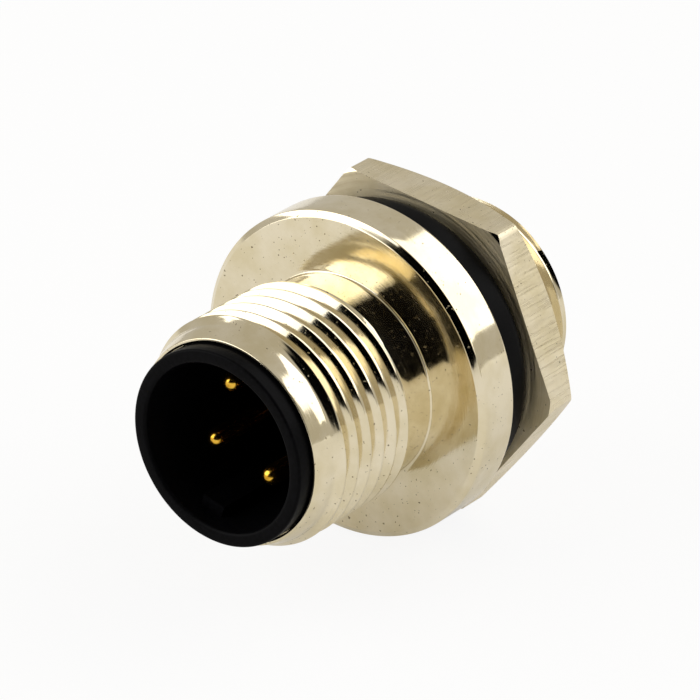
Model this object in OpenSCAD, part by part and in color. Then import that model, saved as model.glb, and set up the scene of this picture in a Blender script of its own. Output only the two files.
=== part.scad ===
// M12 panel-mount connector, four-pole male, A-coded, with solder cups.
// The axis of the connector lies along Y. The mating side faces -Y and the
// solder side +Y. The origin is on the axis, on the rear face of the flange,
// which is the face that clamps on the panel.
// Inside along_axis(), z counts forward from that face.

/* [Threads] */
// Major diameter of both threads
thread_d = 12; // [11.6:0.1:13]
// Pitch of both threads
pitch = 1; // [0.75:0.25:1.25]
// Turns on the mating side
front_turns = 5; // [3:1:8]
// Turns on the panel side
rear_turns = 7; // [5:1:9]

/* [Shell] */
// How far the flange stands out beyond the thread
flange_step = 2.65; // [2.2:0.05:5]
// Thickness of the flange
flange_t = 2.5; // [1.5:0.1:4]
// Bevel on the flange's front edge
flange_chamfer = 0.35; // [0.1:0.05:0.8]
// Plain neck between the flange and the mating thread
neck_l = 1.85; // [1:0.05:4]
// Last root and full-diameter land in front of the mating thread
land_l = 0.65; // [0.5:0.05:2]
// Length of the tapered nose
nose_l = 1.6; // [1:0.1:3]
// Steeper bevel that starts the nose
nose_bevel = 0.24; // [0.1:0.02:0.3]
// Wall of the nose at its lip, outside the carrier's rim
lip_wall = 0.21; // [0.1:0.01:0.3]
// Relief between the flange and the panel thread
relief_l = 0.8; // [0.4:0.1:2]
// Plain end of the panel thread, with its lead-in
rear_end_l = 0.9; // [0.9:0.1:3]
// Bevel at the rear end of the shell
rear_chamfer = 0.4; // [0.1:0.05:0.45]
// Wall between the shell's bore and the roots of its threads
shell_wall = 0.56; // [0.4:0.02:0.8]

/* [Contact carrier] */
// Step of the carrier's rim over the shell's bore
rim_step = 0.23; // [0.15:0.01:0.3]
// How far the rim stands out of the shell's lip
rim_out = 0.9; // [0.3:0.1:2]
// Depth of the seat that the rim drops into
rim_seat = 0.7; // [0.4:0.1:1.4]
// Wall of the socket around the pins
socket_wall = 0.47; // [0.4:0.01:0.6]
// Depth of the socket from the rim
socket_depth = 9.7; // [8:0.1:10.5]
// Lead-in bevel at the mouth of the socket
mouth_chamfer = 0.18; // [0.1:0.02:0.3]
// Length of the carrier behind the socket's floor
base_l = 5.8; // [4:0.1:7]
// Width of the coding key
key_w = 1.3; // [0.8:0.1:1.6]
// Height of the coding key above the socket's wall
key_h = 0.65; // [0.4:0.05:0.9]
// How far the coding key starts behind the rim
key_setback = 1.1; // [0.5:0.1:3]

/* [Contacts] */
// Diameter of the circle that the contacts stand on
contact_circle_d = 5; // [4.8:0.1:5.2]
// Angle of the first contact, anticlockwise from +X as seen from the front
contact_angle = 118.5; // [0:0.5:360]
// Diameter of a pin
pin_d = 1; // [0.8:0.05:1.1]
// Diameter of a contact's shank in the carrier's base
shank_d = 1.4; // [1.2:0.05:1.6]
// How far the pin tips lie behind the rim
pin_setback = 2.35; // [1:0.05:4]
// Diameter of a contact's collar
collar_d = 2.1; // [1.9:0.1:2.4]
// Thickness of a contact's collar
collar_t = 0.8; // [0.5:0.1:1.2]
// Outer diameter of a solder cup
cup_d = 1.4; // [1.2:0.05:1.7]
// Bore of a solder cup
cup_bore_d = 1; // [0.8:0.05:1.2]
// Depth of a solder cup's bore
cup_depth = 4; // [3.5:0.1:4.5]
// How far the solder cups stand out behind the shell
cup_out = 3.1; // [2:0.1:6]
// Length of the cut that opens a solder cup's side
scoop_l = 1.4; // [1:0.1:1.6]

/* [Rear insulator] */
// Thickness of the insulator that backs the contacts
backing_t = 3.6; // [2.5:0.1:4.5]

/* [Seals] */
// How far the panel seal lies inside the flange's edge
seal_inset = 0.75; // [0.3:0.05:1]
// Thickness of the panel seal
seal_t = 2.6; // [1:0.1:3]
// Rounding of the panel seal's outer edges
seal_round = 0.9; // [0.2:0.1:0.9]
// Cord diameter of the carrier's O-ring
ring_cord_d = 0.76; // [0.6:0.02:0.9]

/* [Nut] */
// How much narrower the nut is across its flats than the flange
nut_inset = 1.3; // [0.5:0.1:2]
// Thickness of the nut
nut_t = 2.5; // [2:0.1:4]
// Angle of one of the nut's corners, as seen from the front
nut_angle = 112.8; // [60:0.2:120]
// Width of the bevel on the nut's front corners
nut_bevel = 0.24; // [0.1:0.02:0.5]
// Share of the nut's rear face inside its chamfer
nut_land = 0.95; // [0.9:0.01:0.98]

/* [Clearances] */
// Radial clearance of parts pressed or slipped into a bore
slip = 0.03; // [0.02:0.01:0.05]
// Radial clearance between the nut and the thread crests
nut_clearance = 0.06; // [0.02:0.01:0.1]
// Radial clearance between the panel seal and the thread crests
seal_clearance = 0.1; // [0.05:0.01:0.2]
// Play between the nut and the panel seal
nut_play = 0.05; // [0.02:0.01:0.2]

/* [Hidden] */
$fn = 96;
poles = 4;
thread_r = thread_d / 2;
// A 60 degree thread: five eighths of the sharp triangle's height
thread_depth = 0.5413 * pitch;
root_r = thread_r - thread_depth;
flank_l = thread_depth * tan(30);
crest_l = pitch / 8;
thread_z = flange_t + neck_l;
land_z = thread_z + front_turns * pitch + flank_l;
nose_z = thread_z + front_turns * pitch + land_l;
lip_z = nose_z + nose_l;
rim_z = lip_z + rim_out;
floor_z = rim_z - socket_depth;
base_z = floor_z - base_l;
backing_z = base_z - backing_t;
rear_thread_z = -relief_l;
rear_z = rear_thread_z - rear_turns * pitch - rear_end_l;
nut_z = -seal_t - nut_play;
flange_r = thread_r + flange_step;
bore_r = root_r - shell_wall;
body_r = bore_r - slip;
rim_r = bore_r + rim_step;
key_angle = contact_angle + 135;

// Small edge breaks, and the overlap that cuts and joins take
edge = 0.1;
eps = 0.05;
seat_r = rim_r + slip;
nose_r = seat_r + lip_wall;
socket_r = body_r - socket_wall;
pin_r = pin_d / 2;
shank_r = shank_d / 2;
cup_r = cup_d / 2;
collar_r = collar_d / 2;
tip_z = rim_z - pin_setback;
cup_z = rear_z - cup_out;
ring_gap = 0.01;
ring_r = bore_r - ring_gap - ring_cord_d / 2;
ring_z = (floor_z + base_z) / 2;
groove_r = ring_r - ring_cord_d / 2 - ring_gap;
groove_l = 1.3 * ring_cord_d;
nut_flat_r = flange_r - nut_inset / 2;
nut_corner_r = nut_flat_r / cos(30);

// Turns a shape drawn along +Z so that it points to the mating side
module along_axis() {
    rotate([90, 0, 0]) children();
}

// Outline of level thread ridges from z0 forward, as [radius, z] points
function ridges(z0, turns) = [
    for (i = [0:turns - 1], p = [
        [root_r, 0],
        [thread_r, flank_l],
        [thread_r, flank_l + crest_l],
        [root_r, 2 * flank_l + crest_l]
    ]) [p[0], p[1] + z0 + i * pitch]
];

// Quarter arc about c from angle a0, as [radius, z] points
function arc(c, r, a0, a1, steps = 6) = [
    for (k = [0:steps]) let (a = a0 + (a1 - a0) * k / steps)
        [c[0] + r * cos(a), c[1] + r * sin(a)]
];

// Turned body: panel thread, flange, neck, mating thread and tapered nose
module shell() {
    panel_thread_z = rear_thread_z - rear_turns * pitch;
    outer = concat(
        [[thread_r - rear_chamfer, rear_z],
         [thread_r, rear_z + rear_chamfer],
         [thread_r, panel_thread_z - flank_l]],
        ridges(panel_thread_z, rear_turns),
        [[root_r, 0],
         [flange_r - edge, 0],
         [flange_r, edge],
         [flange_r, flange_t - flange_chamfer],
         [flange_r - flange_chamfer, flange_t]],
        arc([root_r + 2 * edge, flange_t + 2 * edge], 2 * edge, 270, 180),
        ridges(thread_z, front_turns),
        [[root_r, land_z - flank_l],
         [thread_r, land_z],
         [thread_r, nose_z],
         [thread_r - nose_bevel, nose_z + nose_bevel / tan(30)],
         [nose_r, lip_z]]
    );
    inner = [
        [seat_r + edge, lip_z],
        [seat_r, lip_z - edge],
        [seat_r, lip_z - rim_seat],
        [bore_r, lip_z - rim_seat],
        [bore_r, rear_z + 2 * edge],
        [bore_r + 2 * edge, rear_z]
    ];
    color("#cfc6ae") along_axis() rotate_extrude() polygon(concat(outer, inner));
}

// Puts a shape on the place of contact i, its +X side facing outward
module at_contact(i) {
    rotate([0, 0, contact_angle - i * 360 / poles])
        translate([contact_circle_d / 2, 0, 0]) children();
}

// Moulded cup with a solid base that holds the pins and a coding key
module contact_carrier() {
    outline = [
        [0, base_z],
        [body_r - edge, base_z],
        [body_r, base_z + edge],
        [body_r, ring_z - groove_l / 2],
        [groove_r, ring_z - groove_l / 2],
        [groove_r, ring_z + groove_l / 2],
        [body_r, ring_z + groove_l / 2],
        [body_r, lip_z - rim_seat],
        [rim_r, lip_z - rim_seat],
        [rim_r, rim_z - edge],
        [rim_r - edge, rim_z],
        [socket_r + mouth_chamfer, rim_z],
        [socket_r, rim_z - mouth_chamfer],
        [socket_r, floor_z],
        [0, floor_z]
    ];
    key_in = (body_r - socket_r) / 2;
    color("#17171a") along_axis() {
        difference() {
            rotate_extrude() polygon(outline);
            for (i = [0:poles - 1]) at_contact(i)
                translate([0, 0, base_z - eps]) cylinder(r = shank_r + slip, h = base_l + 2 * eps);
        }
        rotate([0, 0, key_angle])
            translate([socket_r - key_h, -key_w / 2, floor_z - eps])
                cube([key_h + key_in, key_w, socket_depth - key_setback + eps]);
    }
}

// Turned contact: pin with a round tip, shank, collar, tail and scooped solder cup
module contact(i) {
    outline = concat(
        [[0, cup_z],
         [cup_r - edge, cup_z],
         [cup_r, cup_z + edge],
         [cup_r, base_z - collar_t],
         [collar_r, base_z - collar_t],
         [collar_r, base_z],
         [shank_r, base_z],
         [shank_r, floor_z],
         [pin_r, floor_z]],
        [for (a = [0:15:75]) [pin_r * cos(a), tip_z - pin_r * (1 - sin(a))]],
        [[0, tip_z]]
    );
    scoop_x = 0.2 * cup_r;
    reach = cup_r + 1;
    color("#d8a63a") along_axis() at_contact(i) difference() {
        rotate_extrude() polygon(outline);
        translate([0, 0, cup_z - eps]) cylinder(d = cup_bore_d, h = cup_depth + eps);
        translate([0, reach, 0]) rotate([90, 0, 0]) linear_extrude(2 * reach) polygon([
            [scoop_x, cup_z - 1],
            [reach, cup_z - 1],
            [reach, cup_z + scoop_l + (reach - scoop_x) / 2],
            [scoop_x, cup_z + scoop_l]
        ]);
    }
}

// O-ring in the carrier's groove
module carrier_seal() {
    color("#2a2a2a") along_axis() translate([0, 0, ring_z])
        rotate_extrude() translate([ring_r, 0]) circle(d = ring_cord_d);
}

// Disc that traps the contact collars and guides the solder cups
module rear_insulator() {
    color("#202022") along_axis() difference() {
        rotate_extrude() polygon([
            [0, backing_z],
            [body_r - 2 * edge, backing_z],
            [body_r, backing_z + 2 * edge],
            [body_r, base_z],
            [0, base_z]
        ]);
        for (i = [0:poles - 1]) at_contact(i) {
            translate([0, 0, backing_z - eps]) cylinder(r = cup_r + slip, h = backing_t + 2 * eps);
            translate([0, 0, base_z - collar_t]) cylinder(r = collar_r + slip, h = collar_t + eps);
        }
    }
}

// Soft ring between the flange and the panel
module panel_seal() {
    seal_r = flange_r - seal_inset;
    hole_r = thread_r + seal_clearance;
    round_r = min(seal_round, seal_t / 2 - eps);
    bevel = 2 * edge;
    color("#141416") along_axis() rotate_extrude() polygon(concat(
        [[hole_r, -seal_t + bevel], [hole_r + bevel, -seal_t]],
        arc([seal_r - round_r, round_r - seal_t], round_r, 270, 360),
        arc([seal_r - round_r, -round_r], round_r, 0, 90),
        [[hole_r + bevel, 0], [hole_r, -bevel]]
    ));
}

// Panel nut with a 30 degree chamfer on its rear face
module hex_nut() {
    rear_r = nut_land * nut_flat_r;
    out_r = nut_corner_r + 1;
    front_r = nut_corner_r - nut_bevel;
    hole_r = thread_r + nut_clearance;
    lead = 3 * edge;
    color("#d2cab2") along_axis() translate([0, 0, nut_z - nut_t]) difference() {
        intersection() {
            rotate([0, 0, nut_angle]) cylinder(r = nut_corner_r, h = nut_t, $fn = 6);
            rotate_extrude() polygon([
                [0, 0],
                [rear_r, 0],
                [out_r, (out_r - rear_r) * tan(30)],
                [out_r, nut_t - (out_r - front_r) * tan(30)],
                [front_r, nut_t],
                [0, nut_t]
            ]);
        }
        rotate_extrude() polygon([
            [0, -eps],
            [hole_r + lead + eps, -eps],
            [hole_r, lead],
            [hole_r, nut_t - lead],
            [hole_r + lead + eps, nut_t + eps],
            [0, nut_t + eps]
        ]);
    }
}

shell();
contact_carrier();
contact(0);  // contact_1
contact(1);  // contact_2
contact(2);  // contact_3
contact(3);  // contact_4
carrier_seal();
rear_insulator();
panel_seal();
hex_nut();
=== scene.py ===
import math
import bpy
import numpy as np
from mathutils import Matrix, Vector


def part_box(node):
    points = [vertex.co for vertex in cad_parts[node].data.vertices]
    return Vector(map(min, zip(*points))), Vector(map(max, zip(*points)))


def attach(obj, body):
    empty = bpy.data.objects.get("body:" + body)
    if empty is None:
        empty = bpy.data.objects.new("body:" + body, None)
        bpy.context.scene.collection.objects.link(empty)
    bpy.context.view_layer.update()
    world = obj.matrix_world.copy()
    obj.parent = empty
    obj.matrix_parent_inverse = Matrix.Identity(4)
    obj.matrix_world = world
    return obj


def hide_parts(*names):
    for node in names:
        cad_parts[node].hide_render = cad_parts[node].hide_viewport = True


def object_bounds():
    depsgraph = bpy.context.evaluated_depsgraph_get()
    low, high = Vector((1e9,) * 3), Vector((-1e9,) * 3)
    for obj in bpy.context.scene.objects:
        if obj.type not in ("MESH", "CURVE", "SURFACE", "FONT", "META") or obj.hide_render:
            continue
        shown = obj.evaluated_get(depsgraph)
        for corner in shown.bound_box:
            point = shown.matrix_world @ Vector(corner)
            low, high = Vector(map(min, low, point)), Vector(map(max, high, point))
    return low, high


# M12 panel-mount connector: nickel-plated brass shell and nut, black insulators, gilt contacts.
# Places are worked out in mm, as [radius, forward], where forward counts from the flange's rear face
# towards the mating side, which is -Y.

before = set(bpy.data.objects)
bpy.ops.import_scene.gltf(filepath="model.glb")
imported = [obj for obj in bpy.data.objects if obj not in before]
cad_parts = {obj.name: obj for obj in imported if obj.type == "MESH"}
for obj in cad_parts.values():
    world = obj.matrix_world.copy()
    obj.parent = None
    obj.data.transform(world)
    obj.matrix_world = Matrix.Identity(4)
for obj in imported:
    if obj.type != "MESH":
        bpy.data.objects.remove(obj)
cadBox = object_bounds()
mm = 0.001
turn = 2 * math.pi
nanometre = 6               # decimals of a millimetre that a point keeps when doubles are merged
besideArc = 0.05            # mm from an arc or a corner to the next row of a straight stretch


def roundPoints(angle, radius, forward):
    # a point at that angle from +X as seen from the mating side: x = r cos a, y = -forward, z = r sin a
    angle, radius, forward = np.broadcast_arrays(angle, radius, forward)
    return np.stack([radius * np.cos(angle), -forward, radius * np.sin(angle)], -1)


def columnAngles(columns, start=0.0):
    # even angles once round, where the last column repeats the first one exactly
    angles = start + turn * np.arange(columns) / columns
    return np.append(angles, angles[0])


def gridPatch(points, uv, material):
    # a grid of points as quads, each corner with its own uv, all in one material slot
    rows, columns = points.shape[:2]
    index = np.arange(rows * columns).reshape(rows, columns)
    quads = np.stack([index[:-1, :-1], index[:-1, 1:], index[1:, 1:], index[1:, :-1]], -1).reshape(-1, 4)
    return points.reshape(-1, 3), quads, uv.reshape(-1, 2), np.full(len(quads), material)


def makePiece(name, patches, materials, sharpAngle=28):
    # joins patches, merges points closer than a nanometre and drops the faces that this closes up
    points = np.concatenate([p[0] for p in patches])
    starts = np.cumsum([0] + [len(p[0]) for p in patches])
    quads = np.concatenate([p[1] + s for p, s in zip(patches, starts)])
    uv = np.concatenate([p[2] for p in patches])
    material = np.concatenate([p[3] for p in patches])
    merged, place = np.unique(np.round(points, nanometre), axis=0, return_inverse=True)
    corners = place.reshape(-1)[quads]
    keep = corners != np.roll(corners, 1, axis=1)
    sides = keep.sum(1)
    used = sides > 2
    keep, sides, material = keep[used], sides[used], material[used]
    loops = corners[used][keep]
    loopUv = uv[quads[used][keep]]
    mesh = bpy.data.meshes.new(name)
    mesh.vertices.add(len(merged))
    mesh.vertices.foreach_set("co", (merged * mm).astype(np.float32).ravel())
    mesh.loops.add(len(loops))
    mesh.loops.foreach_set("vertex_index", loops.astype(np.int32))
    mesh.polygons.add(len(sides))
    mesh.polygons.foreach_set("loop_start", np.append(0, np.cumsum(sides)[:-1]).astype(np.int32))
    mesh.polygons.foreach_set("material_index", material.astype(np.int32))
    mesh.polygons.foreach_set("use_smooth", np.ones(len(sides), bool))
    layer = mesh.uv_layers.new(name="turned")
    layer.data.foreach_set("uv", loopUv.astype(np.float32).ravel())
    mesh.update(calc_edges=True)
    mesh.validate()
    mesh.set_sharp_from_angle(angle=math.radians(sharpAngle))
    for item in materials:
        mesh.materials.append(item)
    piece = bpy.data.objects.new(name, mesh)
    bpy.context.scene.collection.objects.link(piece)
    print(f"{name}: {len(merged)} points, {int((sides - 2).sum())} triangles")
    return piece


def latheUv(radius, forward, angles):
    # u is the length along the profile in mm, v the turn round the axis
    step = np.hypot(np.diff(radius, axis=0), np.diff(forward, axis=0))
    length = np.concatenate([np.zeros((1, step.shape[1])), np.cumsum(step, 0)])
    around = np.broadcast_to(np.arange(len(angles)) / (len(angles) - 1), length.shape)
    return np.stack([length, around], -1)


def lathePatch(profile, angles, material=0):
    # a profile of [radius, forward] points turned about the axis
    profile = np.asarray(profile, float)
    radius = np.repeat(profile[:, :1], len(angles), 1)
    forward = np.repeat(profile[:, 1:], len(angles), 1)
    points = roundPoints(angles[None, :], radius, forward)
    return gridPatch(points, latheUv(radius, forward, angles), material)


def threadPatch(form, angles, material=0):
    # Rows follow the helix: forward = a crest's place + pitch x (whole turns + row's phase + angle / turn),
    # clipped to the two ends. The radius is the thread's form at the row's phase, faded to the plain
    # cylinder at both ends.
    columns = len(angles) - 1
    phases, depths = np.asarray(form["phases"]), np.asarray(form["depths"])
    turns = int(math.ceil((form["end"] - form["start"]) / form["pitch"])) + 2
    whole = np.repeat(np.arange(-1, turns), len(phases))
    phase = np.tile(phases, turns + 1)
    depth = np.tile(depths, turns + 1)
    share = np.arange(columns + 1) / columns
    lead = (whole[:, None] + share[None, :]) + phase[:, None]
    firstCrest = form["start"] + form["pitch"] * ((form["crest"] - form["start"]) / form["pitch"] % 1 - 1)
    forward = np.clip(firstCrest + form["pitch"] * lead, form["start"], form["end"])
    fadeIn = np.clip((forward - form["start"]) / form["fadeStart"], 0, 1)
    fadeOut = np.clip((form["end"] - forward) / form["fadeEnd"], 0, 1)
    land = form["startRadius"] + (form["radius"] - form["startRadius"]) * fadeIn
    radius = np.minimum(land, form["radius"] - depth[:, None] * fadeOut)
    points = roundPoints(angles[None, :], radius, forward)
    length = np.broadcast_to(np.arange(len(whole))[:, None] * form["pitch"] / len(phases), forward.shape)
    around = np.broadcast_to(share, forward.shape)
    return gridPatch(points, np.stack([length, around], -1), material)


def arc(centre, radius, first, last, steps):
    # points on a circle about a [radius, forward] centre, angles in degrees
    a = np.radians(np.linspace(first, last, steps + 1))
    return np.stack([centre[0] + radius * np.cos(a), centre[1] + radius * np.sin(a)], -1).tolist()


def spaced(first, last, steps):
    # even points on a straight stretch of a profile, without its last one
    share = np.arange(steps)[:, None] / steps
    return (np.asarray(first) * (1 - share) + np.asarray(last) * share).tolist()


def linear(hexColour):
    # sRGB hex to linear red, green, blue, 1
    value = np.array([int(hexColour[i:i + 2], 16) for i in (1, 3, 5)]) / 255
    value = np.where(value <= 0.04045, value / 12.92, ((value + 0.055) / 1.055) ** 2.4)
    return (*value.tolist(), 1.0)


def addNode(tree, kind, settings=None, inputs=None):
    # adds a node, sets its properties, and sets or links its inputs
    node = tree.nodes.new(kind)
    for key, value in (settings or {}).items():
        setattr(node, key, value)
    for key, value in (inputs or {}).items():
        if isinstance(value, bpy.types.NodeSocket):
            tree.links.new(value, node.inputs[key])
        else:
            node.inputs[key].default_value = value
    return node


def newMaterial(name):
    material = bpy.data.materials.new(name)
    material.use_nodes = True
    material.node_tree.nodes.clear()
    return material, material.node_tree


def rampNode(tree, factor, stops):
    # a colour ramp from (place, colour) stops
    node = addNode(tree, "ShaderNodeValToRGB", inputs={"Fac": factor})
    ramp = node.color_ramp
    while len(ramp.elements) < len(stops):
        ramp.elements.new(0.5)
    for element, (place, colour) in zip(ramp.elements, stops):
        element.position = place
        element.color = colour
    return node


def finishMaterial(tree, shader):
    addNode(tree, "ShaderNodeOutputMaterial", inputs={"Surface": shader})


turnedLook = {
    "bright": "#e9dfc6",       # nickel over brass, warm silver
    "stain": "#ddd1b0",        # faint straw-coloured clouds in the plating
    "pit": "#6d6046",          # pits and specks
    "roughness": 0.085,
    "anisotropy": 0.6,
    "markWidth": 0.085,        # spacing of the turning marks in mm, coarser than real ones so that they show
    "markHeight": 0.0016,
    "bend": 1.3,               # how fast the marks change along their own direction
    "roughSpread": (0.7, 1.5),
    "stainSize": 2.6,
    "stainEdge": (0.38, 0.62),
    "pitSize": 0.16,
    "pitEdge": (0.735, 0.76),  # noise above this is a pit, so few are
    "pitDepth": 0.02,
}
# the nut's flats keep the skin of the drawn bar, its front face is faced off coarsely
drawnLook = dict(turnedLook, roughness=0.3, anisotropy=0.0, markWidth=0.11, markHeight=0.004, bend=0.35)
facedLook = dict(turnedLook, roughness=0.58, anisotropy=0.0, markWidth=0.14, markHeight=0.003)


def platedMetal(name, look, lines):
    # Nickel plating on machined brass. Turning marks run round the axis, so that highlights fan out
    # across them; drawn bar has its marks along the axis.
    material, tree = newMaterial(name)
    coords = addNode(tree, "ShaderNodeTexCoord")
    millimetres = addNode(tree, "ShaderNodeVectorMath", {"operation": "SCALE"},
                          {0: coords.outputs["Object"], "Scale": 1 / mm})
    around = addNode(tree, "ShaderNodeVectorMath", {"operation": "MULTIPLY"},
                     {0: millimetres.outputs[0], 1: (1, 0, 1)})
    outward = addNode(tree, "ShaderNodeVectorMath", {"operation": "NORMALIZE"}, {0: around.outputs[0]})
    split = addNode(tree, "ShaderNodeSeparateXYZ", inputs={"Vector": outward.outputs[0]})
    place = addNode(tree, "ShaderNodeSeparateXYZ", inputs={"Vector": millimetres.outputs[0]})
    radius = addNode(tree, "ShaderNodeVectorMath", {"operation": "LENGTH"}, {0: around.outputs[0]})
    if lines == "round":
        # radius plus depth changes across every turned face, slowly bent by the angle
        across = addNode(tree, "ShaderNodeMath", {"operation": "MULTIPLY_ADD"},
                         {0: place.outputs["Y"], 1: 1.0, 2: radius.outputs["Value"]})
        vector = addNode(tree, "ShaderNodeCombineXYZ", inputs={
            "X": across.outputs[0], "Y": split.outputs["X"], "Z": split.outputs["Z"]})
        stretch = (1 / look["markWidth"], look["bend"], look["bend"])
    else:
        vector = addNode(tree, "ShaderNodeCombineXYZ", inputs={
            "X": place.outputs["X"], "Y": place.outputs["Y"], "Z": place.outputs["Z"]})
        stretch = (1 / look["markWidth"], look["bend"], 1 / look["markWidth"])
    marks = addNode(tree, "ShaderNodeMapping", inputs={"Vector": vector.outputs[0], "Scale": stretch})
    lineNoise = addNode(tree, "ShaderNodeTexNoise", {"noise_dimensions": "3D"}, {
        "Vector": marks.outputs[0], "Scale": 1.0, "Detail": 3.0, "Roughness": 0.6})
    clouds = addNode(tree, "ShaderNodeTexNoise", inputs={
        "Vector": millimetres.outputs[0], "Scale": 1 / look["stainSize"], "Detail": 4.0, "Roughness": 0.6})
    low, high = look["stainEdge"]
    cloudShade = rampNode(tree, clouds.outputs["Fac"], [
        (low, linear(look["stain"])), (high, linear(look["bright"]))])
    specks = addNode(tree, "ShaderNodeTexNoise", inputs={
        "Vector": millimetres.outputs[0], "Scale": 1 / look["pitSize"], "Detail": 1.0})
    low, high = look["pitEdge"]
    speckMask = rampNode(tree, specks.outputs["Fac"], [(low, (0, 0, 0, 1)), (high, (1, 1, 1, 1))])
    colour = addNode(tree, "ShaderNodeMix", {"data_type": "RGBA"}, {
        0: speckMask.outputs["Color"], 6: cloudShade.outputs["Color"], 7: linear(look["pit"])})
    smooth, coarse = look["roughSpread"]
    rough = addNode(tree, "ShaderNodeMapRange", inputs={
        "Value": lineNoise.outputs["Fac"], "From Min": 0.3, "From Max": 0.7,
        "To Min": look["roughness"] * smooth, "To Max": look["roughness"] * coarse})
    bump = addNode(tree, "ShaderNodeBump", inputs={
        "Height": lineNoise.outputs["Fac"], "Strength": 1.0, "Distance": look["markHeight"] * mm})
    pitBump = addNode(tree, "ShaderNodeBump", {"invert": True}, {
        "Height": speckMask.outputs["Color"], "Strength": 0.6, "Distance": look["pitDepth"] * mm,
        "Normal": bump.outputs["Normal"]})
    settings = {"Base Color": colour.outputs[2], "Metallic": 1.0, "Roughness": rough.outputs["Result"],
                "Anisotropic": look["anisotropy"], "Normal": pitBump.outputs["Normal"]}
    if lines == "round":
        tangent = addNode(tree, "ShaderNodeTangent", {"direction_type": "UV_MAP", "uv_map": "turned"})
        settings["Tangent"] = tangent.outputs[0]
    shader = addNode(tree, "ShaderNodeBsdfPrincipled", inputs=settings)
    finishMaterial(tree, shader.outputs[0])
    return material


plasticLook = {
    "colour": "#060607",
    "worn": "#0c0c0f",
    "roughness": 0.34,
    "smoother": 0.08,          # how far the roughness goes down and up with the grain
    "rougher": 0.12,
    "grain": 0.22,             # mm
    "grainHeight": 0.006,
    "wornEdge": (0.35, 0.75),
    "gloss": 0.03,             # low, the skin is satin and hardly mirrors the room
}
rubberLook = dict(plasticLook, colour="#030304", worn="#070708", roughness=0.42, grain=0.12, gloss=0.04)


def mouldedPlastic(name, look):
    # Black polyamide or nitrile rubber, moulded: a deep black satin skin with a fine grain
    material, tree = newMaterial(name)
    coords = addNode(tree, "ShaderNodeTexCoord")
    millimetres = addNode(tree, "ShaderNodeVectorMath", {"operation": "SCALE"},
                          {0: coords.outputs["Object"], "Scale": 1 / mm})
    grain = addNode(tree, "ShaderNodeTexNoise", inputs={
        "Vector": millimetres.outputs[0], "Scale": 1 / look["grain"], "Detail": 3.0})
    low, high = look["wornEdge"]
    shade = rampNode(tree, grain.outputs["Fac"], [
        (low, linear(look["colour"])), (high, linear(look["worn"]))])
    rough = addNode(tree, "ShaderNodeMapRange", inputs={
        "Value": grain.outputs["Fac"],
        "To Min": look["roughness"] - look["smoother"], "To Max": look["roughness"] + look["rougher"]})
    bump = addNode(tree, "ShaderNodeBump", inputs={
        "Height": grain.outputs["Fac"], "Strength": 0.5, "Distance": look["grainHeight"] * mm})
    shader = addNode(tree, "ShaderNodeBsdfPrincipled", inputs={
        "Base Color": shade.outputs["Color"], "Roughness": rough.outputs["Result"], "IOR": 1.53,
        "Specular IOR Level": look["gloss"], "Normal": bump.outputs["Normal"]})
    finishMaterial(tree, shader.outputs[0])
    return material


goldLook = {
    "bright": "#f0c04a",
    "deep": "#c98f22",
    "deepEdge": (0.35, 0.6),
    "roughness": 0.2,
    "grain": 0.35,
    "waveHeight": 0.03,
}


def gildedBrass(name, look):
    # Gold flash on turned brass: a deep yellow mirror with slight waviness
    material, tree = newMaterial(name)
    coords = addNode(tree, "ShaderNodeTexCoord")
    millimetres = addNode(tree, "ShaderNodeVectorMath", {"operation": "SCALE"},
                          {0: coords.outputs["Object"], "Scale": 1 / mm})
    waves = addNode(tree, "ShaderNodeTexNoise", inputs={
        "Vector": millimetres.outputs[0], "Scale": 1 / look["grain"], "Detail": 3.0})
    low, high = look["deepEdge"]
    shade = rampNode(tree, waves.outputs["Fac"], [
        (low, linear(look["deep"])), (high, linear(look["bright"]))])
    bump = addNode(tree, "ShaderNodeBump", inputs={
        "Height": waves.outputs["Fac"], "Strength": 0.6, "Distance": look["waveHeight"] * mm})
    shader = addNode(tree, "ShaderNodeBsdfPrincipled", inputs={
        "Base Color": shade.outputs["Color"], "Metallic": 1.0, "Roughness": look["roughness"],
        "Normal": bump.outputs["Normal"]})
    finishMaterial(tree, shader.outputs[0])
    return material


turnedNickel = platedMetal("turnedNickelPlate", turnedLook, "round")
drawnNickel = platedMetal("drawnBarNickelPlate", drawnLook, "along")
facedNickel = platedMetal("facedNickelPlate", facedLook, "round")
blackPlastic = mouldedPlastic("mouldedBlackPolyamide", plasticLook)
nitrileRubber = mouldedPlastic("mouldedNitrileRubber", rubberLook)
gold = gildedBrass("goldPlatedBrass", goldLook)
print("materials made")

shellFront = -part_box("shell")[0].y / mm          # lip of the nose
shellRear = -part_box("shell")[1].y / mm           # rear end
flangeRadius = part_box("shell")[1].x / mm

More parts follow.
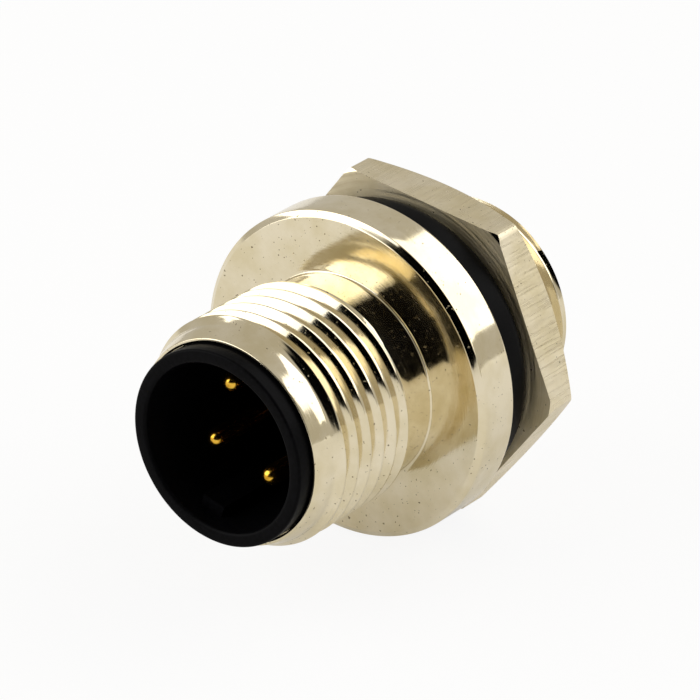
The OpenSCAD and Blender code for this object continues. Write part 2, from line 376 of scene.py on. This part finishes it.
shellSizes = {
    "columns": 360,
    "threadRadius": 6.0,
    "pitch": 1.0,
    "depth": 0.5413,             # of a 60 degree thread of this pitch
    "crestAt": 9.04,             # forward place of a crest at angle 0
    "flangeThickness": 2.5,
    "flangeBevel": 0.3,
    "flangeEdge": 0.1,           # rounding of its rear edge
    "flangeLip": 0.06,           # rounding where its bevel meets its face
    "neckRadius": 5.4587,        # at the roots of the threads
    "neckFillet": 0.12,
    "neckStart": 0.2,            # first plain row, in front of the flange's face
    "neckEnd": 4.35,
    "noseStart": 10.04,
    "noseFade": 0.25,            # length in which the thread runs out at the nose
    "noseSteps": [(0, 0), (0.03, 0.05),              # inward and forward from the nose's start:
                  (0.06, 0.08), (0.3, 0.4),          # rounded edge, bevel,
                  (0.32, 0.44), (0.39, 0.84),        # slow taper,
                  (0.41, 0.9)],                      # and the start of the steeper one
    "lipWidth": 0.23,
    "lipRound": 0.05,
    "lipEdge": 0.06,             # where the taper ends, behind the lip
    "seatBevel": 0.1,
    "wall": 0.56,
    "seatRadius": 5.1587,
    "seatDepth": 0.7,
    "rearThreadEnd": -0.8,
    "rearBevel": 0.4,
    "boreBevel": 0.2,
}


def threadForm(pitch, depth):
    # one pitch from crest to crest: narrow crest, straight 60 degree flanks, rounded root
    crest = pitch / 16
    foot = crest + depth * math.tan(math.radians(30))
    half = [(0.0, 0.0), (crest * 0.8, 0.004), (crest * 1.15, 0.03), ((crest + foot) / 2, depth / 2),
            (foot * 0.97, depth * 0.93), ((foot + pitch / 2) / 2, depth * 0.99)]
    phases = [p for p, _ in half] + [pitch / 2] + [pitch - p for p, _ in half[:0:-1]]
    depths = [d for _, d in half] + [depth] + [d for _, d in half[:0:-1]]
    return np.array(phases) / pitch, np.array(depths)


def buildShell(sizes):
    # One closed profile turned about the axis: panel thread, flange, neck, mating thread, nose, bore.
    # The two threads are helical, all the rest is round.
    angles = columnAngles(sizes["columns"])
    phases, depths = threadForm(sizes["pitch"], sizes["depth"])
    major, neck = sizes["threadRadius"], sizes["neckRadius"]
    bore = neck - sizes["wall"]
    thick, bevel = sizes["flangeThickness"], sizes["flangeBevel"]
    edge, face, fillet = sizes["flangeEdge"], sizes["flangeLip"], sizes["neckFillet"]
    rear = dict(pitch=sizes["pitch"], phases=phases, depths=depths, crest=sizes["crestAt"], radius=major,
                start=shellRear, end=sizes["rearThreadEnd"], startRadius=major - sizes["rearBevel"],
                fadeStart=sizes["rearBevel"], fadeEnd=1e-6)
    front = dict(rear, start=sizes["neckEnd"], end=sizes["noseStart"], startRadius=neck,
                 fadeStart=major - neck, fadeEnd=sizes["noseFade"])
    flange = (spaced([neck, sizes["rearThreadEnd"]], [neck, 0], 2)
              + spaced([neck, 0], [flangeRadius - edge, 0], 10)
              + arc([flangeRadius - edge, edge], edge, 270, 360, 3)
              + spaced([flangeRadius, edge + besideArc], [flangeRadius, thick - bevel], 4)
              + arc([flangeRadius - bevel * 0.4, thick - bevel], bevel * 0.4, 0, 30, 2)
              + [[flangeRadius - bevel * 0.75, thick - bevel * 0.3]]
              + arc([flangeRadius - bevel * 1.1, thick - face], face, 45, 90, 2)
              + spaced([flangeRadius - bevel * 1.2, thick], [neck + fillet, thick], 24)
              + arc([neck + fillet, thick + fillet], fillet, 270, 180, 4)
              + spaced([neck, thick + sizes["neckStart"]], [neck, sizes["neckEnd"]], 4)
              + [[neck, sizes["neckEnd"]]])
    seat, seatBevel, boreBevel = sizes["seatRadius"], sizes["seatBevel"], sizes["boreBevel"]
    lip, lipEdge = sizes["lipRound"], sizes["lipEdge"]
    seatFloor = shellFront - sizes["seatDepth"]
    steps = [[major - inward, sizes["noseStart"] + ahead] for inward, ahead in sizes["noseSteps"]]
    nose = (steps[:2]
            + spaced(steps[2], steps[3], 4)
            + spaced(steps[4], steps[5], 6)
            + spaced(steps[6], [seat + sizes["lipWidth"], shellFront - lipEdge], 8)
            + arc([seat + sizes["lipWidth"] - lipEdge, shellFront - lip], lip, 20, 90, 3)
            + [[seat + seatBevel, shellFront], [seat, shellFront - seatBevel]]
            + [[seat, seatFloor], [bore, seatFloor]]
            + spaced([bore, seatFloor - boreBevel], [bore, shellRear + boreBevel], 8)
            + [[bore, shellRear + boreBevel], [bore + boreBevel, shellRear],
               [major - sizes["rearBevel"], shellRear]])
    patches = [threadPatch(rear, angles), lathePatch(flange, angles), threadPatch(front, angles),
               lathePatch(nose, angles)]
    piece = makePiece("turnedShell", patches, [turnedNickel])
    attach(piece, "connector")
    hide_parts("shell")
    return piece


buildShell(shellSizes)
print("shell made")

nutFront = -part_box("hex_nut")[0].y / mm
nutRear = -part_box("hex_nut")[1].y / mm

nutSizes = {
    "columns": 360,
    "cornerAngle": 112.8,       # of one corner, as seen from the front
    "acrossFlats": 16.0,
    "rearLand": 0.95,           # share of the rear face inside its chamfer
    "frontBevel": 0.24,
    "holeRadius": 6.06,
    "lead": 0.3,                # bevel of the hole at both ends
    "chamferAngle": 30,
    "sharpness": 160,           # power that joins the flats, the corners are rounder below
}


def hexRadius(angles, corner, flat, sharpness):
    # soft-cornered hexagon: the radius is 1 / (sum over six sides of (cos(angle - side) / flat) ^ power)
    # ^ (1 / power)
    sides = corner + turn / 12 + turn / 6 * np.arange(6)
    reach = np.clip(np.cos(angles[:, None] - sides[None, :]), 0, None) / flat
    return (reach ** sharpness).sum(1) ** (-1 / sharpness)


def buildNut(sizes):
    # Rings of points from the rear land over the flats to the front face and back through the hole. A
    # chamfer is a cone of 30 degrees: where it meets the flats, forward grows with the hexagon's radius.
    corner = math.radians(sizes["cornerAngle"])
    angles = columnAngles(sizes["columns"], corner)
    flat = sizes["acrossFlats"] / 2
    outer = hexRadius(angles, corner, flat, sizes["sharpness"])
    slope = math.tan(math.radians(sizes["chamferAngle"]))
    rearLand = flat * sizes["rearLand"]
    frontLand = flat / math.cos(math.radians(30)) - sizes["frontBevel"]
    rearCrease = nutRear + (outer - rearLand) * slope
    frontCrease = nutFront - np.clip(outer - frontLand, 0, None) * slope
    hole, lead = sizes["holeRadius"], sizes["lead"]

    def strip(first, last, steps, material):
        # straight rows between two rings, each a (radius, forward) pair
        share = np.linspace(0, 1, steps + 1)[:, None]
        radius = (1 - share) * first[0] + share * last[0]
        forward = (1 - share) * first[1] + share * last[1]
        radius, forward = np.broadcast_arrays(radius + 0 * outer, forward + 0 * outer)
        points = roundPoints(angles[None, :], radius, forward)
        return gridPatch(points, latheUv(radius, forward, angles), material)

    full = 0 * outer
    ringRear = (full + hole + lead, full + nutRear)
    ringLand = (full + rearLand, full + nutRear)
    ringRearCrease = (outer, rearCrease)
    ringFrontCrease = (outer, frontCrease)
    ringFrontLand = (np.minimum(outer, frontLand), full + nutFront)
    ringFront = (full + hole + lead, full + nutFront)
    ringIn = (full + hole, full + nutFront - lead)
    ringOut = (full + hole, full + nutRear + lead)
    patches = [strip(ringRear, ringLand, 6, 0), strip(ringLand, ringRearCrease, 3, 0),
               strip(ringRearCrease, ringFrontCrease, 8, 1), strip(ringFrontCrease, ringFrontLand, 2, 0),
               strip(ringFrontLand, ringFront, 10, 2), strip(ringFront, ringIn, 2, 0),
               strip(ringIn, ringOut, 6, 0), strip(ringOut, ringRear, 2, 0)]
    piece = makePiece("panelNut", patches, [turnedNickel, drawnNickel, facedNickel])
    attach(piece, "nut")
    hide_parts("hex_nut")
    return piece


buildNut(nutSizes)
print("nut made")

sealSizes = {
    "columns": 240,
    "hole": 6.1,
    "radius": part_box("panel_seal")[1].x / mm,
    "thickness": 2.6,
    "round": 0.9,
    "bevel": 0.2,
}


def buildSeal(sizes):
    # a flat ring whose outer edge is two quarter circles
    angles = columnAngles(sizes["columns"])
    outer, thick, roundness, bevel = sizes["radius"], sizes["thickness"], sizes["round"], sizes["bevel"]
    profile = ([[sizes["hole"], bevel - thick], [sizes["hole"] + bevel, -thick]]
               + spaced([sizes["hole"] + bevel + besideArc, -thick], [outer - roundness, -thick], 4)
               + arc([outer - roundness, roundness - thick], roundness, 270, 360, 12)
               + arc([outer - roundness, -roundness], roundness, 0, 90, 12)
               + spaced([outer - roundness - besideArc, 0], [sizes["hole"] + bevel, 0], 4)
               + [[sizes["hole"] + bevel, 0], [sizes["hole"], -bevel], [sizes["hole"], bevel - thick]])
    piece = makePiece("panelSealRing", [lathePatch(profile, angles)], [nitrileRubber])
    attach(piece, "connector")
    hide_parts("panel_seal")
    return piece


buildSeal(sealSizes)

carrierSizes = {
    "columns": 256,
    "bodyRadius": 4.8687,
    "rimRadius": 5.1287,
    "socketWall": 0.47,
    "socketDepth": 9.7,
    "baseLength": 5.8,
    "seatBack": 1.6,             # from the rim's face back to its seat in the shell
    "keyAngle": 253.5,
    "keyWidth": 1.3,
    "keyHeight": 0.65,
    "keySetback": 1.1,           # behind the rim's face
    "keyColumns": 6,             # columns from the key's middle to its foot
    "rimRound": 0.14,
    "mouthRound": 0.2,
    "baseBevel": 0.1,
}
contactSizes = {
    "circle": 2.5,
    "angle": 118.5,
    "pin": 0.5,
    "shank": 0.7,
    "collar": 1.05,
    "collarThickness": 0.8,
    "cup": 0.7,
    "cupBore": 0.5,
    "cupDepth": 4.0,
    "drillPoint": 0.25,          # cone at the floor of the cup
    "boreRows": (0.33, 0.66, 1),
    "scoop": 1.4,
    "wholeFrom": 2.6,            # in front of the cup's end, where it is round again
    "edge": 0.05,                # rounding of collar and pin
    "shankEdge": 0.1,
    "clearance": 0.03,
    "poles": 4,
    "scoopAt": 0.2,              # of the cup's radius, where its side is cut away
    "openColumns": 25,           # columns along the cut, and along the wall that stays
    "closedColumns": 40,
}
rimFace = -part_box("contact_carrier")[0].y / mm


def holedPlate(outline, forward, angles, hole, circle, first, poles, facingFront, material=0):
    # A flat plate inside an outline of [x, z] points with one round hole in each quarter: every quarter
    # is ruled from its hole to the outline and to the two straight lines that part it from its neighbours
    columns = len(angles) - 1
    quarter = columns // poles
    patches = []
    for pole in range(poles):
        middle = first - pole * turn / poles
        start = int(round(((middle - turn / (2 * poles) - angles[0]) % turn) / turn * columns))
        index = (start + np.arange(quarter + 1)) % columns
        rim = outline[index]
        spoke = np.linspace(1, 0, 9)[:, None]
        loop = np.concatenate([rim, rim[-1] * spoke[1:], rim[0] * spoke[::-1][1:]])
        centre = circle * np.array([math.cos(middle), math.sin(middle)])
        heading = loop - centre
        ring = centre + hole * heading / np.linalg.norm(heading, axis=1)[:, None]
        share = np.array([0.0, 0.25, 1.0])[:, None, None]
        flat = ring[None] * (1 - share) + loop[None] * share
        points = np.stack([flat[..., 0], np.full(flat.shape[:2], -forward), flat[..., 1]], -1)
        if not facingFront:
            points = points[::-1]
        patches.append((gridPatch(points, points[..., ::2].copy(), material), ring))
    return patches


def buildCarrier(sizes, contacts):
    # Turned outside and mouth, then the socket's wall: a circle whose points beside the key's angle are
    # moved on to the key's three sides. Floor and rear are plates with a hole for each contact.
    key = math.radians(sizes["keyAngle"])
    first = math.radians(contacts["angle"])
    # columns start half way between two contacts, so that the quarters of the floor end on columns
    columns = sizes["columns"]
    angles = columnAngles(columns, first - turn / (2 * contacts["poles"]))
    body, rim = sizes["bodyRadius"], sizes["rimRadius"]
    socket = body - sizes["socketWall"]
    floor = rimFace - sizes["socketDepth"]
    base = floor - sizes["baseLength"]
    seat = rimFace - sizes["seatBack"]
    # socket wall outline with the coding key standing in from it
    wall = np.stack([socket * np.cos(angles), socket * np.sin(angles)], -1)
    keyed = wall.copy()
    half = sizes["keyWidth"] / 2
    near = int(round(((key - angles[0]) % turn) / turn * columns))
    k = np.arange(-sizes["keyColumns"], sizes["keyColumns"] + 1)
    foot = math.sqrt(socket ** 2 - half ** 2)
    out = np.where(np.abs(k) == sizes["keyColumns"], foot, socket - sizes["keyHeight"])
    side = half * np.clip(k / (sizes["keyColumns"] - 1), -1, 1)
    across = np.array([np.cos(key), np.sin(key)])
    beside = np.array([-np.sin(key), np.cos(key)])
    keyed[(near + k) % columns] = out[:, None] * across + side[:, None] * beside
    wall[-1], keyed[-1] = wall[0], keyed[0]

    def wallRow(outline, forward):
        return np.stack([outline[:, 0], np.full(len(outline), -forward), outline[:, 1]], -1)

    r, m = sizes["rimRound"], sizes["mouthRound"]
    bevel = sizes["baseBevel"]
    outerProfile = ([[body - bevel, base], [body, base + bevel]]
                    + [[body, seat], [rim, seat], [rim, seat + 0.2]]
                    + arc([rim - r, rimFace - r], r, 0, 90, 6)
                    + arc([socket + m, rimFace - m], m, 90, 180, 6))
    rows = np.stack([wallRow(wall, f) for f in np.linspace(rimFace - m, rimFace - sizes["keySetback"], 4)]
                    + [wallRow(keyed, f) for f in np.linspace(rimFace - sizes["keySetback"], floor, 12)])
    flatUv = np.stack([np.broadcast_to(np.arange(len(rows))[:, None], rows.shape[:2]),
                       np.broadcast_to(np.arange(rows.shape[1]) / columns, rows.shape[:2])], -1)
    shank = contacts["shank"] + contacts["clearance"]
    front = holedPlate(keyed, floor, angles, shank, contacts["circle"], first, contacts["poles"], True)
    baseOutline = (body - bevel) * np.stack([np.cos(angles), np.sin(angles)], -1)
    rear = holedPlate(baseOutline, base, angles, shank, contacts["circle"], first, contacts["poles"], False)
    patches = [lathePatch(outerProfile, angles), gridPatch(rows, flatUv, 0)]
    for (frontPatch, frontRing), (rearPatch, rearRing) in zip(front, rear):
        tube = np.stack([np.stack([ring[:, 0], np.full(len(ring), -f), ring[:, 1]], -1)
                         for ring, f in ((rearRing, base), (frontRing, floor))])
        patches += [frontPatch, rearPatch, gridPatch(tube, tube[..., ::2].copy(), 0)]
    piece = makePiece("contactCarrier", patches, [blackPlastic])
    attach(piece, "connector")
    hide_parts("contact_carrier")
    return piece


buildCarrier(carrierSizes, contactSizes)


def buildContact(number, sizes, carrier):
    # Rings along the contact's own axis, from the cup's floor out over its rim and forward to the tip.
    # The cup's open side faces away from the connector's axis: its rim rises half as fast as it moves out.
    node = f"contact_{number + 1}"
    low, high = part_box(node)
    tip, cupEnd = -low.y / mm, -high.y / mm
    floor = rimFace - carrier["socketDepth"]
    base = floor - carrier["baseLength"]
    cup, bore, pin = sizes["cup"], sizes["cupBore"], sizes["pin"]
    cut = sizes["scoopAt"] * cup
    openColumns, closedColumns = sizes["openColumns"], sizes["closedColumns"]

    def cupAngles(half):
        # columns round the cup, doubled at the two walls of its cut
        around = np.concatenate([np.linspace(-half, half, openColumns),
                                 np.linspace(half, turn - half, closedColumns)])
        return np.append(around, around[0])

    angles, inside = cupAngles(math.acos(cut / cup)), cupAngles(math.acos(cut / bore))
    columns = openColumns + closedColumns
    isOpen = np.append(np.arange(columns) < openColumns, True)
    rimOut = np.where(isOpen, cupEnd + sizes["scoop"] + (cup * np.cos(angles) - cut) / 2, cupEnd)
    rimIn = np.where(isOpen, cupEnd + sizes["scoop"] + (bore * np.cos(inside) - cut) / 2, cupEnd)
    rimIn = np.maximum(rimIn, cupEnd)
    floorCup = cupEnd + sizes["cupDepth"]

    def ring(radius, forward, at=angles):
        return np.stack([radius * np.cos(at), forward + 0 * at, radius * np.sin(at)], -1)

    rows = [ring(0, floorCup + sizes["drillPoint"], inside), ring(bore, floorCup, inside)]
    rows += [ring(bore, floorCup * (1 - s) + rimIn * s, inside) for s in sizes["boreRows"]]
    rows += [ring(cup, rimOut)]
    collar, thick, edge = sizes["collar"], sizes["collarThickness"], sizes["edge"]
    profile = [[cup, cupEnd + sizes["wholeFrom"]], [cup, base - thick], [collar - edge, base - thick],
               [collar, base - thick + edge], [collar, base - edge], [collar - edge, base],
               [sizes["shank"], base], [sizes["shank"], floor - sizes["shankEdge"]],
               [pin + edge, floor], [pin, floor + edge], [pin, tip - pin]]
    profile += arc([0, tip - pin], pin, 8, 90, 10)
    rows += [ring(radius if radius > 1e-9 else 0, forward) for radius, forward in profile]
    grid = np.stack(rows)
    place = math.radians(sizes["angle"]) - number * turn / sizes["poles"]
    out = np.array([math.cos(place), 0, math.sin(place)])
    side = np.array([-math.sin(place), 0, math.cos(place)])
    ahead = np.array([0, -1, 0])
    points = ((grid[..., :1] + sizes["circle"]) * out + grid[..., 2:] * side + grid[..., 1:2] * ahead)
    uv = np.stack([np.broadcast_to(np.arange(len(rows))[:, None], points.shape[:2]),
                   np.broadcast_to(np.arange(columns + 1) / columns, points.shape[:2])], -1)
    piece = makePiece(f"contactPin{number + 1}", [gridPatch(points, uv, 0)], [gold])
    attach(piece, "connector")
    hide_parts(node)
    return piece


for number in range(contactSizes["poles"]):
    buildContact(number, contactSizes, carrierSizes)

for name, finish in (("rear_insulator", blackPlastic), ("carrier_seal", nitrileRubber)):
    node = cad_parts[name]
    node.data.materials.clear()
    node.data.materials.append(finish)
print("seal, insulators and contacts made")

studio = {
    "floorColour": "#f4f3f1",
    "floorDrop": 0.3,            # mm below the lowest edge
    "floorSize": 1.6,            # metres
    "whiteSeen": 0.9,            # share of plain white in the floor as the camera sees it
    "whiteMirrored": 0.22,       # and as the metal mirrors it
    "rightLamp": dict(azimuth=138, elevation=40, distance=0.7, width=0.95, height=0.7, watts=3.3),
    "leftLamp": dict(azimuth=-44, elevation=26, distance=0.25, width=0.27, height=0.2, watts=0.33),
    "room": "#c6c2ba",           # what the metal sees where there is no lamp
    "darkSide": "#000000",       # unlit side of the room, behind the camera
    "darkAzimuth": 27,
    "darkElevation": 24,
    "darkInner": 38,
    "darkOuter": 44,
}


def direction(azimuth, elevation):
    # azimuth 0 points to the mating side (-Y) and 90 to +X
    a, e = math.radians(azimuth), math.radians(elevation)
    return np.array([math.sin(a) * math.cos(e), -math.cos(a) * math.cos(e), math.sin(e)])


def addLamp(name, spec):
    lamp = bpy.data.lights.new(name, "AREA")
    lamp.shape = "RECTANGLE"
    lamp.size, lamp.size_y, lamp.energy = spec["width"], spec["height"], spec["watts"]
    obj = bpy.data.objects.new(name, lamp)
    bpy.context.scene.collection.objects.link(obj)
    obj.location = direction(spec["azimuth"], spec["elevation"]) * spec["distance"]
    obj.rotation_euler = (math.radians(90 - spec["elevation"]), 0, math.radians(spec["azimuth"]))


def buildFloor(spec):
    half = spec["floorSize"] / 2
    level = cadBox[0].z - spec["floorDrop"] * mm
    mesh = bpy.data.meshes.new("floor")
    mesh.from_pydata([(-half, -half, level), (half, -half, level), (half, half, level), (-half, half, level)],
                     [], [(0, 1, 2, 3)])
    floor = bpy.data.objects.new("floor", mesh)
    bpy.context.scene.collection.objects.link(floor)
    material, tree = newMaterial("whitePaper")
    path = addNode(tree, "ShaderNodeLightPath")
    mirrored = addNode(tree, "ShaderNodeMath", {"operation": "ADD"}, {
        0: path.outputs["Is Glossy Ray"], 1: path.outputs["Is Transmission Ray"]})
    weighted = addNode(tree, "ShaderNodeMath", {"operation": "MULTIPLY"}, {
        0: mirrored.outputs[0], 1: spec["whiteMirrored"]})
    share = addNode(tree, "ShaderNodeMath", {"operation": "MULTIPLY_ADD"}, {
        0: path.outputs["Is Camera Ray"], 1: spec["whiteSeen"], 2: weighted.outputs[0]})
    paper = addNode(tree, "ShaderNodeBsdfDiffuse", inputs={"Color": linear(spec["floorColour"])})
    glow = addNode(tree, "ShaderNodeEmission", inputs={"Color": (1, 1, 1, 1), "Strength": 1.0})
    mix = addNode(tree, "ShaderNodeMixShader", inputs={
        0: share.outputs[0], 1: paper.outputs[0], 2: glow.outputs[0]})
    finishMaterial(tree, mix.outputs[0])
    mesh.materials.append(material)


def buildWorld(spec):
    # pale room with one unlit side; the camera sees plain white behind the object
    world = bpy.data.worlds.new("studioRoom")
    bpy.context.scene.world = world
    world.use_nodes = True
    tree = world.node_tree
    tree.nodes.clear()
    coords = addNode(tree, "ShaderNodeTexCoord")
    towards = addNode(tree, "ShaderNodeVectorMath", {"operation": "DOT_PRODUCT"}, {
        0: coords.outputs["Generated"], 1: direction(spec["darkAzimuth"], spec["darkElevation"]).tolist()})
    dark = addNode(tree, "ShaderNodeMapRange", {"interpolation_type": "SMOOTHSTEP"}, {
        "Value": towards.outputs["Value"], "From Min": math.cos(math.radians(spec["darkOuter"])),
        "From Max": math.cos(math.radians(spec["darkInner"])), "To Min": 0.0, "To Max": 1.0})
    room = addNode(tree, "ShaderNodeMix", {"data_type": "RGBA"}, {
        0: dark.outputs["Result"], 6: linear(spec["room"]), 7: linear(spec["darkSide"])})
    path = addNode(tree, "ShaderNodeLightPath")
    seen = addNode(tree, "ShaderNodeMix", {"data_type": "RGBA"}, {
        0: path.outputs["Is Camera Ray"], 6: room.outputs[2], 7: (1, 1, 1, 1)})
    background = addNode(tree, "ShaderNodeBackground", inputs={"Color": seen.outputs[2], "Strength": 1.0})
    addNode(tree, "ShaderNodeOutputWorld", inputs={"Surface": background.outputs[0]})


cameraPlace = {
    "azimuth": 37.55,
    "elevation": 26.1,
    "distance": 262.96,                 # mm, from the point that it is aimed at
    "aim": (-1.061, -0.524, 0.362),     # mm, close to the axis inside the flange
    "lens": 271.28,
    "sensor": 36.0,
}


def buildCamera(spec):
    data = bpy.data.cameras.new("camera")
    data.lens, data.sensor_width = spec["lens"], spec["sensor"]
    data.clip_start, data.clip_end = 0.01, 20.0
    camera = bpy.data.objects.new("camera", data)
    bpy.context.scene.collection.objects.link(camera)
    away = direction(spec["azimuth"], spec["elevation"])
    camera.location = (np.array(spec["aim"]) + away * spec["distance"]) * mm
    camera.rotation_euler = (math.radians(90 - spec["elevation"]), 0, math.radians(spec["azimuth"]))
    bpy.context.scene.camera = camera


buildFloor(studio)
buildWorld(studio)
addLamp("rightSoftbox", studio["rightLamp"])
addLamp("leftSoftbox", studio["leftLamp"])
buildCamera(cameraPlace)
bpy.context.scene.view_settings.view_transform = "Standard"
print("studio made")
